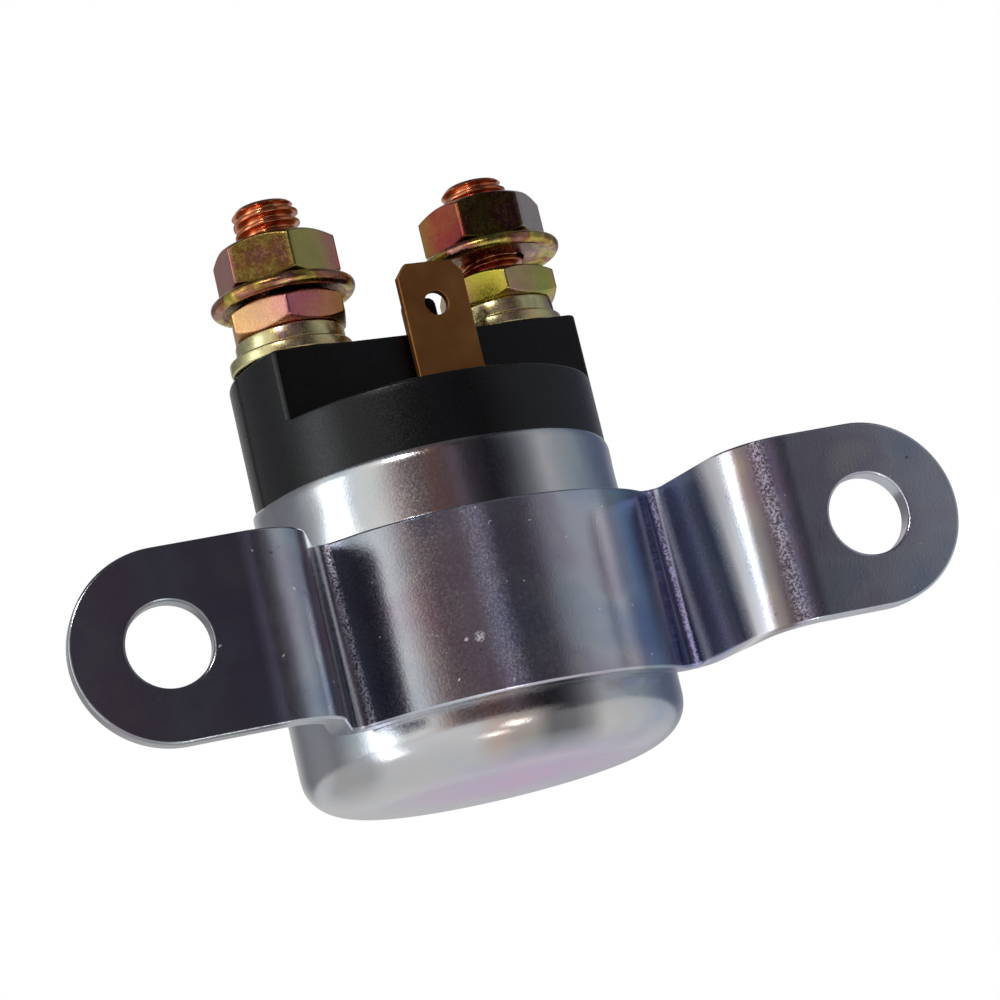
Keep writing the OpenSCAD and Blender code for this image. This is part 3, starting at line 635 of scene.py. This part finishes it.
def capGrid():
    # from the chamber's roof down and out, up the wall, over the ledge and the block to the middle
    c, e = cap, cap["edge"]
    fine = np.linspace(-c["fineReach"], c["fineReach"], c["fineSteps"])
    turn = np.linspace(0, 2 * np.pi, c["steps"], endpoint=False)
    turn = np.unique(np.concatenate([turn, np.mod(fine, 2 * np.pi), np.pi + fine]).round(6))
    # the mould's parting line stands proud at both sides, with a shallow groove along it
    beside = c["radius"] * np.arctan2(np.sin(2 * turn), np.cos(2 * turn)) / 2
    ridge = np.exp(-(beside / c["lineWidth"]) ** 2)
    ridge = ridge - c["groove"] * np.exp(-((beside + c["grooveAt"]) / c["lineWidth"]) ** 2)
    wall = c["radius"] + c["line"] * ridge
    flat = c["half"] / np.maximum(np.abs(np.sin(turn)), 1e-6)
    # the block's wall is the nearer of the round wall and the flat face, softly joined
    k = c["blend"]
    face = c["radius"] - k * np.log(np.exp(-(np.minimum(flat, 60) - c["radius"]) / k)
                                    + np.exp(-(wall - c["radius"]) / k))
    face = np.minimum(face, wall)
    room = np.clip((wall - face) / 2, 0, e)
    ones = np.ones_like(turn)
    skirt = [(0, c["roof"]), (c["chamber"], c["roof"]), (c["chamber"], c["flangeLow"]),
             (c["flangeRadius"], c["flangeLow"]), (c["flangeRadius"], c["flangeTop"]),
             (c["waist"], c["flangeTop"]), (c["waist"], c["foot"])]
    rows = [(r * ones, z * ones) for r, z in skirt]
    quarter = np.linspace(0, np.pi / 2, 6)[1:]
    rows += [(wall, z * ones) for z in np.linspace(c["foot"], c["ledge"] - e, 12)]
    rows += [(wall - room * (1 - np.cos(a)), c["ledge"] - room * (1 - np.sin(a))) for a in quarter]
    rows += [((wall - room) * (1 - share) + face * share, c["ledge"] * ones)
             for share in np.linspace(0, 1, 5)[1:]]
    rows += [(face, z * ones) for z in np.linspace(c["ledge"], c["top"] - e, 12)[1:]]
    rows += [(face - e * (1 - np.cos(a)), (c["top"] - e + e * np.sin(a)) * ones) for a in quarter]
    rows += [((face - e) * share, c["top"] * ones) for share in (0.66, 0.33, 0.0)]
    radius, height = (np.array(column) for column in zip(*rows))
    return onCap(aroundAxis(radius, turn, height))


def tabGrid():
    # an upright outline with round upper corners, drawn in a little at both faces and closed there
    t = tab
    half, r = t["width"] / 2, t["corner"]
    corners = arcProfile((half - r, t["top"] - r), r, 0, 90, 8)
    corners += arcProfile((r - half, t["top"] - r), r, 90, 180, 8)
    outline = np.array([(half, t["low"]), *corners, (-half, t["low"])])
    middle = np.array([[0, (t["low"] + t["top"]) / 2]])
    inward = (middle - outline) / np.linalg.norm(middle - outline, axis=1, keepdims=True)
    turns = np.linspace(0, np.pi / 2, 4)
    breaks = [(t["edge"] * (1 - np.cos(a)), t["edge"] * (1 - np.sin(a))) for a in turns]
    rows = [(0.0, middle + 0 * outline)]
    rows += [(depth, outline + inward * inset) for depth, inset in breaks]
    rows += [(t["thick"] - depth, outline + inward * inset) for depth, inset in breaks[::-1]]
    rows += [(t["thick"], middle + 0 * outline)]
    return onCap(np.array([np.stack([t["x"] + p[:, 0], np.full(len(p), t["front"] + d), p[:, 1]], -1)
                           for d, p in rows]))


moulding, upright = capGrid(), tabGrid()
capPoints = np.concatenate([moulding.reshape(-1, 3), upright.reshape(-1, 3)])
tabFaces = np.array(gridFaces(*upright.shape[:2])) + moulding.size // 3
makePiece("capMoulding", capPoints, gridFaces(*moulding.shape[:2]) + tabFaces.tolist(), "relay",
          ["terminal_cap"], phenolic, 35)
print("cap ready")

# Threaded studs
stud = {"radius": 3.0, "pitch": 1.0, "depth": 0.6, "head": 3.9, "headLow": 14.65, "headTop": 16.95,
        "threadFrom": 27.4, "end": 41.9, "chamfer": 0.5, "columns": 72, "perPitch": 18, "root": 1.25,
        "flank": 3.1, "fade": 0.6, "under": 0.1, "endSlope": 0.9, "endStep": 0.12}


def studGrid():
    # round the axis, the radius falls into a rounded groove that climbs one pitch a turn
    s = stud
    turn = np.linspace(0, 2 * np.pi, s["columns"], endpoint=False)
    threaded = np.arange(s["threadFrom"], s["end"], s["pitch"] / s["perPitch"])
    z = threaded[:, None] + 0 * turn
    phase = np.mod(z / s["pitch"] - turn[None, :] / (2 * np.pi), 1.0)
    groove = np.clip(s["root"] - np.abs(phase - 0.5) * s["flank"], 0, 1)
    groove = groove * groove * (3 - 2 * groove)
    fade = np.clip((z - s["threadFrom"]) / s["fade"], 0, 1)
    radius = s["radius"] - s["depth"] * groove * fade
    radius = np.minimum(radius, s["radius"] - s["chamfer"] + (s["end"] - z) * s["endSlope"])
    low = [(0, s["headLow"]), (s["head"], s["headLow"]), (s["head"], s["headTop"]),
           (s["radius"], s["headTop"]), (s["radius"], s["threadFrom"] - s["under"])]
    high = [(s["radius"] - s["chamfer"] - s["endStep"], s["end"]), (0, s["end"])]
    radius = np.concatenate([[[r] * len(turn) for r, _ in low], radius, [[r] * len(turn) for r, _ in high]])
    z = np.concatenate([[[h] * len(turn) for _, h in low], z, [[h] * len(turn) for _, h in high]])
    return aroundAxis(radius, turn, z)


# Nuts, rings and washers
hardware = {
    "flats": 10.0, "bore": 3.05, "lockLow": 29.6, "lockHeight": 2.85, "ring": 32.5, "ringHeight": 1.3,
    "ringRadius": 6.6, "nutHeight": 4.3, "lift": {-1: 0.0, 1: 1.5}, "washerRadius": 5.6,
    "washerLow": 26.85, "washerTop": 28.0, "springRadius": 4.95, "springLow": 28.0, "springTop": 29.58,
    "ringBore": 3.2, "washerBore": 3.5, "springBore": 3.3, "washerShift": -0.45, "springShift": -0.27,
    "nutBreak": 0.9, "coneShare": 0.97, "coneAngle": math.radians(30), "nutBlend": 0.05,
    "boreBreak": 0.45, "rim": 0.63, "webIn": 0.2, "webHalf": 0.5, "webBoreHalf": 0.35,
    "washerEdge": 0.25, "washerBreak": 0.1, "nutGap": 0.05, "nutSteps": 216, "ringSteps": 144,
    "washerSteps": 128}
# Slight waviness of the pressed rings, and the split washer's cut
wave = {"from": 4.5, "over": 2, "out": 0.03, "up": 0.02}
cut = {"gap": math.radians(5.5), "steps": 120, "under": 0.04, "over": 0.1, "edge": 0.18,
       "rise": (-0.04, 0.08), "lean": 0.7, "reach": 12}


def nutGrid(low, height, turnAngle):
    # the softly joined nearer of a hexagon and the cone that chamfers both of its ends
    h, half, k = hardware, hardware["flats"] / 2, hardware["nutBlend"]
    turn = np.linspace(0, 2 * np.pi, h["nutSteps"], endpoint=False)
    sector = np.mod(turn - math.radians(turnAngle), np.pi / 3) - np.pi / 6
    hexagon = half / np.cos(sector)
    ends = h["nutBreak"] * (1 - np.cos(np.linspace(0, np.pi / 2, 12)))
    middle = np.linspace(h["nutBreak"], height - h["nutBreak"], 8)
    z = np.unique(np.concatenate([ends, height - ends, middle]))
    cone = half * h["coneShare"] + np.minimum(z, height - z) / math.tan(h["coneAngle"])
    wall = -k * np.log(np.exp(-(hexagon[None, :] - half) / k) + np.exp(-(cone[:, None] - half) / k)) + half
    wide, edge = h["bore"] + h["boreBreak"], h["boreBreak"]
    bore = [(wide, height), (h["bore"], height - edge), (h["bore"], edge), (wide, 0.0)]
    radius = np.concatenate([wall, [[r] * len(turn) for r, _ in bore]])
    level = np.concatenate([np.repeat(z[:, None], len(turn), 1), [[v] * len(turn) for _, v in bore]])
    return aroundAxis(radius, turn, level + low)


def ringWave(radius, height, turn):
    out = np.clip((radius - wave["from"]) / wave["over"], 0, 1)
    return radius + wave["out"] * out * np.sin(7 * turn), height + wave["up"] * out * np.sin(3 * turn + 1)


def ringGrid(low):
    # a rolled rim round a thinner web, with the slight waviness of a pressed ring
    h, mid = hardware, low + hardware["ringHeight"] / 2
    profile = arcProfile((h["ringRadius"] - h["rim"], mid), h["rim"], -150, 150, 22)
    wide, bore = h["ringBore"] + h["webIn"], h["ringBore"]
    profile += [(wide, mid + h["webHalf"]), (bore, mid + h["webBoreHalf"]),
                (bore, mid - h["webBoreHalf"]), (wide, mid - h["webHalf"])]
    return revolved(profile, h["ringSteps"], ringWave)


def washerGrid():
    # a flat washer with rounded outer edges, a little off the stud's middle
    h, low, high = hardware, hardware["washerLow"], hardware["washerTop"]
    outer, bore = h["washerRadius"] - h["washerEdge"], h["washerBore"]
    edge, chamfer = h["washerEdge"], h["washerBreak"]
    profile = arcProfile((outer, low + edge), edge, -90, 0, 5) + arcProfile((outer, high - edge), edge, 0, 90, 5)
    profile += [(bore + chamfer, high), (bore, high - chamfer), (bore, low + chamfer), (bore + chamfer, low)]
    return revolved(profile, h["washerSteps"]) + [h["washerShift"], 0, 0]


def splitWasher(side, splitAngle):
    # a square section carried round a little less than a turn, rising slightly to its end
    h, e = hardware, cut["edge"]
    start = math.radians(splitAngle)
    turn = np.linspace(start + cut["gap"], start + 2 * np.pi - cut["gap"], cut["steps"])
    low, high = h["springLow"] + cut["under"], h["springTop"] - cut["over"]
    inner, outer = h["springBore"], h["springRadius"]
    section = []
    for centre, way in (((inner + e, low + e), 180), ((outer - e, low + e), 270),
                        ((outer - e, high - e), 0), ((inner + e, high - e), 90)):
        section += arcProfile(centre, e, way, way + 90, 4)
    section = np.array(section)
    radius = np.repeat(section[None, :, 0], len(turn), 0)
    z = section[None, :, 1] + np.linspace(*cut["rise"], len(turn))[:, None]
    lean = (section[None, :, 1] - (low + high) / 2) * cut["lean"] / np.maximum(radius, 1)
    ends = np.abs(np.linspace(-1, 1, len(turn)))[:, None] ** cut["reach"]
    a = turn[:, None] - lean * ends
    points = aroundAxis(radius, a, z) + [h["springShift"], 0, 0]
    count = len(section)
    lastSection = (len(turn) - 1) * count
    faces = gridFaces(len(turn), count)
    faces += [list(range(count))[::-1], list(range(lastSection, lastSection + count))]
    return atStud(points, side), faces


def ontoStud(side, name, node, grid, body, material, sharp=38):
    # a closed ring of chromated steel round its stud
    turns = sides[side]
    makePiece(name + turns["title"], atStud(grid, side), gridFaces(*grid.shape[:2], True), body,
              [node + turns["word"]], material, sharp)


sides = {-1: {"title": "Left", "word": "left", "lockTurn": 12, "nutTurn": -33, "split": 120},
         1: {"title": "Right", "word": "right", "lockTurn": 17, "nutTurn": -12, "split": -38}}
# The colour on each nut, by heading: one tone or a short drift to a face; partly the film's own colour,
# partly painted reflection, where near-black and pale faces stand in for dark and bright surroundings mirrored
filmAndReflectionTones = {
    "lockLeft": [(-180, "#b99a58"), (-72, "#b08a50"), (-66, "#cc9c70"), (-14, "#c98d80"), (-6, "#cc6c84"),
        (20, "#d07c76"), (46, "#cc8458"), (54, "#b99a58"), (180, "#b99a58")],
    "nutLeft": [(-180, "#b99a58"), (-115, "#c98a78"), (-59, "#d08088"), (-51, "#33200f"), (1, "#33240f"),
        (9, "#a9a060"), (40, "#b4a06a"), (61, "#c47f7c"), (69, "#b99a58"), (180, "#b99a58")],
    "lockRight": [(-180, "#b99a58"), (-69, "#b99a58"), (-61, "#d29088"), (-40, "#aea43a"), (-9, "#c2b840"),
        (-1, "#b0927a"), (24, "#a6986a"), (44, "#94a452"), (51, "#b0a060"), (180, "#b99a58")],
    "nutRight": [(-180, "#b99a58"), (-98, "#c8a84c"), (-90, "#bb8442"), (-72, "#cc5048"), (-38, "#b84448"),
        (-30, "#1c0c0a"), (22, "#180a08"), (30, "#e2d6ca"), (82, "#e6dac4"), (90, "#b99a58"),
        (180, "#b99a58")]}
studPoints = studGrid()
for side, turns in sides.items():
    h, title, word = hardware, turns["title"], turns["word"]
    seat = h["ring"] + h["lift"][side]
    makePiece("stud" + title, atStud(studPoints, side), gridFaces(*studPoints.shape[:2]), "relay",
              ["stud_" + word], copper, 60)
    ontoStud(side, "flatWasher", "flat_washer_", washerGrid(), "relay", paleChromate)
    points, faces = splitWasher(side, turns["split"])
    makePiece("springWasher" + title, points, faces, "relay", ["spring_washer_" + word],
              paleChromate)
    ontoStud(side, "lockNut", "lock_nut_", nutGrid(h["lockLow"], h["lockHeight"], turns["lockTurn"]), "relay",
             chromateNut("yellowChromateLockNut" + title, side, filmAndReflectionTones["lock" + title]), 60)
    ontoStud(side, "flangeRing", "flange_ring_", ringGrid(seat), "ring_" + word, darkChromate, 60)
    nut = nutGrid(seat + h["ringHeight"] + h["nutGap"], h["nutHeight"], turns["nutTurn"])
    ontoStud(side, "terminalNut", "terminal_nut_", nut, "nut_" + word,
             chromateNut("yellowChromateTopNut" + title, side, filmAndReflectionTones["nut" + title]), 60)
print("studs and hardware ready")

# Spade terminal
blade = {"x": 0.95, "y": -8.0, "thick": 0.8, "width": 6.3, "foot": 20.3, "height": 12.3,
         "chamfer": 1.2, "chamferShare": 0.8, "hole": 2.2, "holeAt": 8.4, "edge": 0.12}


def bladeSheet():
    # a fan from the latch hole out to the blade's outline
    b, half = blade, blade["width"] / 2
    top = b["height"] - b["holeAt"]
    low = b["foot"] - cap["ledge"] - b["holeAt"]
    inner, shoulder = half - b["chamfer"] * b["chamferShare"], top - b["chamfer"]
    corners = [(half, low), (half, shoulder), (inner, top), (-inner, top), (-half, shoulder), (-half, low)]
    outline = []
    for (x0, z0), (x1, z1) in zip(corners, corners[1:] + corners[:1]):
        share = np.linspace(0, 1, 13)[:-1]
        outline += list(zip(x0 + (x1 - x0) * share, z0 + (z1 - z0) * share))
    outline = np.array(outline)
    heading = np.arctan2(outline[:, 1], outline[:, 0])
    rim = b["hole"] / 2 * np.stack([np.cos(heading), np.sin(heading)], -1)
    share = np.linspace(0, 1, 8)[:, None, None]
    points = (rim * (1 - share) + outline * share).reshape(-1, 2)
    return points, np.array(gridFaces(8, len(outline)))


def onBlade(points, depth):
    y = np.full(len(points), blade["y"] - blade["thick"] / 2 + depth)
    return onCap(np.stack([blade["x"] + points[:, 0], y, cap["ledge"] + blade["holeAt"] + points[:, 1]], -1))


bladePoints, bladeFaces = doubled(*bladeSheet(), blade["thick"], onBlade)
spade = makePiece("spadeBlade", bladePoints, bladeFaces, "relay",
                  ["spade_terminal"], tarnishedBrass)
roundEdges(spade, blade["edge"])
print("spade terminal ready")

# Camera, floor and light
shot = {"place": (-65.6725, -228.5896, -43.0274), "forward": (0.266216, 0.941864, 0.204993),
        "up": (0.170228, -0.255263, 0.951768), "lens": 107.06, "sensor": 36, "near": 0.005}
forward, up = Vector(shot["forward"]).normalized(), Vector(shot["up"]).normalized()
right = forward.cross(up).normalized()
up = right.cross(forward)
cameraData = bpy.data.cameras.new("camera")
cameraData.sensor_width, cameraData.lens, cameraData.clip_start = shot["sensor"], shot["lens"], shot["near"]
camera = inScene("camera", cameraData)
turnMatrix = Matrix((right, up, -forward)).transposed().to_4x4()
camera.matrix_world = Matrix.Translation(Vector(shot["place"]) * mm) @ turnMatrix
bpy.context.scene.camera = camera

# Bands of a photographer's tent, by heading from the left rear round the front to the right rear
tent = {"radius": 1.2, "low": -0.9, "high": 1.3, "steps": 96,
    "bands": [(-180, "#d0ced0"), (-166, "#a9a8a8"), (-156, "#7a7a7d"), (-144, "#8d8e92"), (-132, "#939499"),
        (-112, "#a0a1a6"), (-100, "#e6eaea"), (-50, "#f4f6f2"), (-44, "#e2e1dc"), (-39, "#bca8a3"),
        (-34, "#8e746e"), (-27, "#5e4f50"), (-14, "#67575c"), (2, "#645963"), (8, "#46414a"),
        (16, "#413e47"), (24, "#47444a"), (32, "#4d4b4f"), (37, "#626167"), (42, "#85868d"),
        (50, "#a6a8ad"), (60, "#b5b8be"), (78, "#a0a7ae"), (96, "#8d99a2"), (112, "#767b88"),
        (130, "#6c7082"), (155, "#b4b4ba"), (180, "#d0ced0")]}

# A pale card close by on the right, which the right ear mirrors
card = {"y": -0.09, "from": 0.056, "to": 0.26, "low": -0.06, "high": 0.12,
    "tones": [(0.056, "#48464e"), (0.066, "#65646b"), (0.076, "#84868d"), (0.088, "#8d9096"),
        (0.115, "#a6a8ad"), (0.2, "#b5b8be")]}

# Brighter sources within the tent: how far out, between which headings and climbs, colour and strength
strips = [
    (1.14, (-91, -72), (-9, 24), "#f6fbff", 3.2), (0.12, (1.2, 3.2), (-6, 34), "#cfc4f0", 0.7),
    (0.24, (-92, -78), (-38, -14), "#f6fbff", 3.0), (0.20, (-1, 7), (-42, -33), "#ffffff", 9.0),
    (0.10, (-20, -8), (-61, -56), "#ffffff", 7.0)]


def glowing(name, points, faces, colour, strength=1.0):
    # a stage surface that only gloss can see, lit by one colour or by a function's colour
    mesh = meshOf(name, points, faces)
    surface = inScene(name, mesh)
    material = bpy.data.materials.new(name + "Cloth")
    tree = emptyTree(material)
    glow = addNode(tree, "ShaderNodeEmission", {"Strength": strength})
    if callable(colour):
        tree.links.new(colour(tree, ownPlace(tree)), glow.inputs["Color"])
    else:
        glow.inputs["Color"].default_value = toLinear(colour)
    addNode(tree, "ShaderNodeOutputMaterial", links={"Surface": glow.outputs[0]})
    mesh.materials.append(material)
    for kind in ("camera", "diffuse", "transmission", "shadow", "volume_scatter"):
        setattr(surface, "visible_" + kind, False)


def tentColour(tree, place):
    return byHeading(tree, place, tent["bands"])


def cardColour(tree, place):
    # the distance to the right, as a share of the card's width, picks the tone
    across = addNode(tree, "ShaderNodeSeparateXYZ", links={"Vector": place}).outputs["X"]
    width = card["to"] - card["from"]
    return ramp(tree, mapped(tree, across, (card["from"], card["to"])),
                [((x - card["from"]) / width, c) for x, c in card["tones"]])


def tentRing(z):
    way = np.linspace(0, 2 * np.pi, tent["steps"], endpoint=False)
    return [(tent["radius"] * math.cos(a), tent["radius"] * math.sin(a), z) for a in way]


glowing("tent", [tentRing(tent["low"]), tentRing(tent["high"])], gridFaces(2, tent["steps"]), tentColour)
cardCorners = [(card[x], card["y"], card[z])
               for x, z in (("from", "low"), ("to", "low"), ("to", "high"), ("from", "high"))]
glowing("card", cardCorners, [(0, 1, 2, 3)], cardColour)


def glowStrip(name, reach, headings, climbs, colour, strength):
    # part of an upright round wall inside the tent, between two headings and two climbs
    way = np.radians(np.linspace(*headings, 7))
    wall = [[(reach * math.sin(a), -reach * math.cos(a), reach * math.tan(math.radians(c))) for a in way]
            for c in climbs]
    glowing(name, wall, gridFaces(2, 7, False, False), colour, strength)


for number, strip in enumerate(strips):
    glowStrip("glowStrip" + str(number), *strip)

glowing("ceiling", tentRing(tent["high"]), [list(range(tent["steps"]))], "#5e5e66")

ground = {"half": 4, "z": -0.2, "colour": "#f2f2f2", "roughness": 0.9}
floorMesh = meshOf("floor", [(x * ground["half"], y * ground["half"], ground["z"])
                             for x, y in ((-1, -1), (1, -1), (1, 1), (-1, 1))], [(0, 1, 2, 3)])
floor = inScene("floor", floorMesh)
floorMaterial, _, floorShader, _ = newMaterial("paleFloor")
floorShader.inputs["Base Color"].default_value = toLinear(ground["colour"])
floorShader.inputs["Roughness"].default_value = ground["roughness"]
floorMesh.materials.append(floorMaterial)

key = {"place": Vector((-0.45, -0.7, 0.55)), "aim": Vector((0, 0.024, 0.01)), "size": 0.12, "power": 2.0}
lampData = bpy.data.lights.new("keyLamp", "AREA")
lampData.shape, lampData.size, lampData.energy = "DISK", key["size"], key["power"]
lamp = inScene("keyLamp", lampData)
lamp.location = key["place"]
lamp.rotation_euler = (key["aim"] - key["place"]).to_track_quat("-Z", "Y").to_euler()

# A white sky to the camera and to gloss, and a dimmer one to every other ray
world = bpy.data.worlds.new("world")
bpy.context.scene.world = world
worldTree = emptyTree(world)
rays = addNode(worldTree, "ShaderNodeLightPath").outputs
seen = rays["Is Camera Ray"]
for kind in ("Is Glossy Ray", "Is Transmission Ray"):
    seen = addNode(worldTree, "ShaderNodeMath", {"operation": "MAXIMUM"}, {0: seen, 1: rays[kind]}).outputs[0]
sky = addNode(worldTree, "ShaderNodeBackground", {"Color": (1, 1, 1, 1)},
              {"Strength": mapped(worldTree, seen, (0.0, 1.0), (0.7, 1.0))})
addNode(worldTree, "ShaderNodeOutputWorld", links={"Surface": sky.outputs[0]})
bpy.context.scene.view_settings.view_transform = "Standard"
print("camera and light ready")
